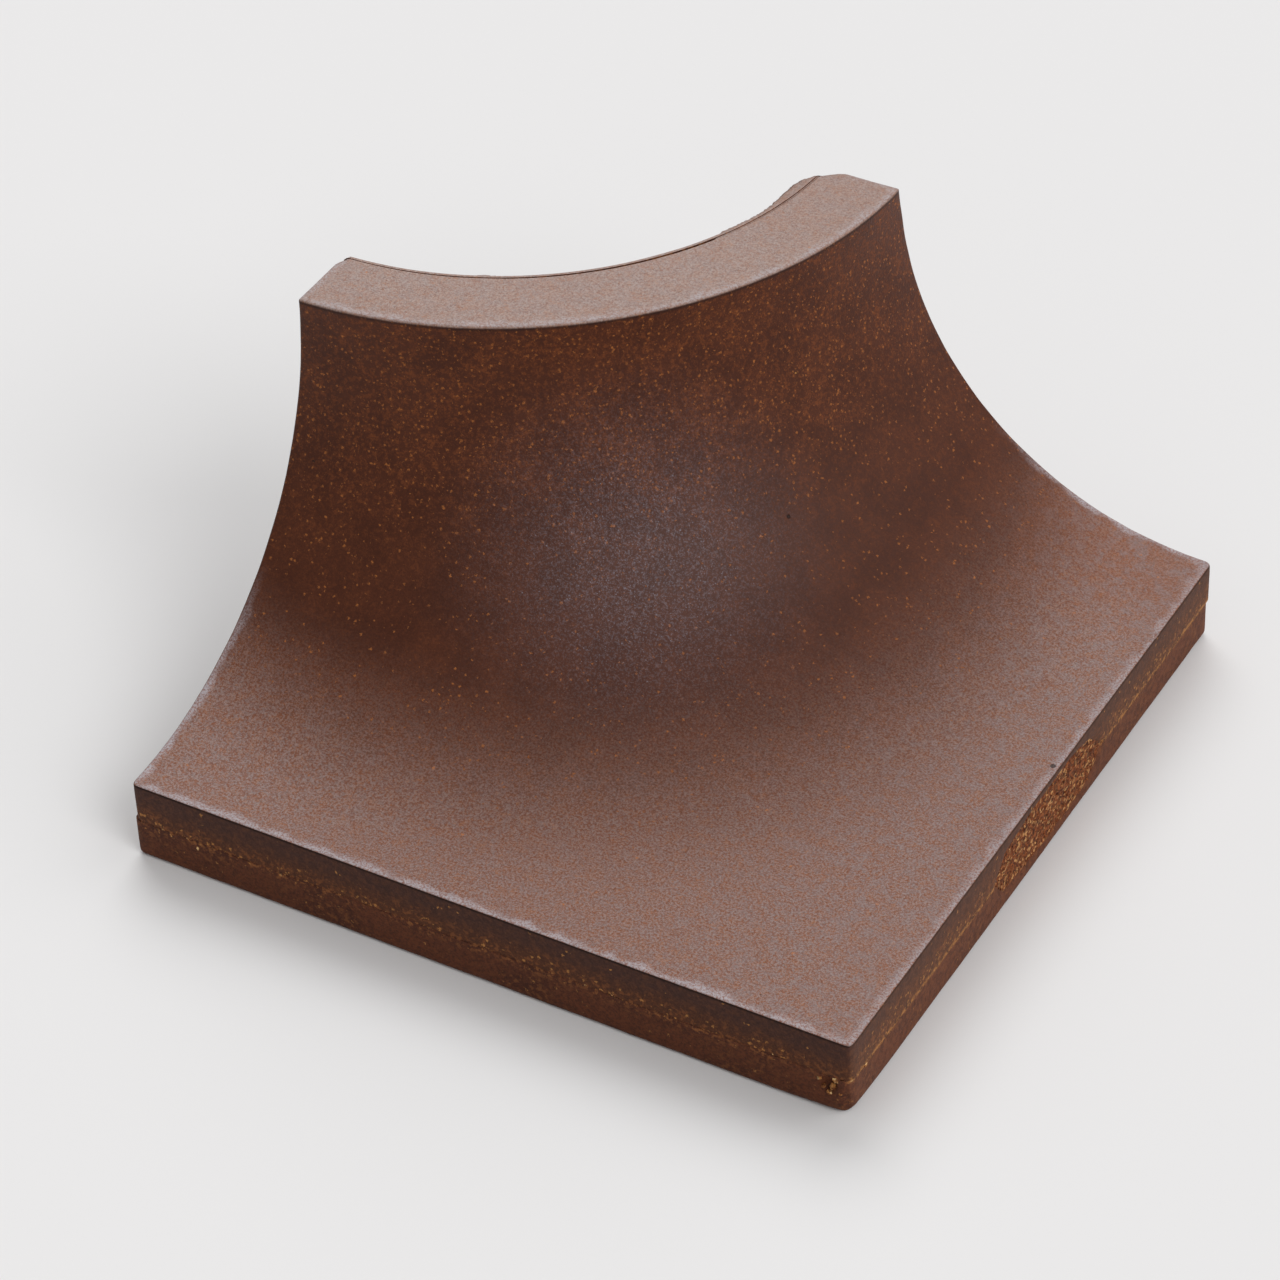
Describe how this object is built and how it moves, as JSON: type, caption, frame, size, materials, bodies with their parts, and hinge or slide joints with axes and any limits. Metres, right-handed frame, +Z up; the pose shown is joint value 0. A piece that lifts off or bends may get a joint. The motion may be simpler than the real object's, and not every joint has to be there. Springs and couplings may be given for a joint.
{
  "type": "cove corner tile",
  "caption": "Square fired-clay floor tile that curves up in a cove to a low upstand wrapping round the outside corner of a wall.",
  "frame": {"origin": "centre of the square plan on the bed face", "axes": "+Z up, square to the bed face; the upstand stands over the -X +Y corner and the free corner points to +X -Y"},
  "size_m": [0.1806, 0.18, 0.101],
  "materials": {
    "fired_skin": "unglazed vitrified clay, dark red-brown, fine grained with ochre specks and a dull metallic bloom",
    "fired_clay": "unglazed vitrified clay, dark brown with ochre grog",
    "torn_clay": "torn, granular orange-brown clay body",
    "flash_clay": "squeezed clay lip, pinkish brown"
  },
  "bodies": {
    "root": {"clay_body": "fired_clay", "face_skin": "fired_skin", "parting_flash": "torn_clay", "torn_patch": "torn_clay", "rim_lip": "flash_clay", "rim_lump": "flash_clay"}
  },
  "joints": []
}
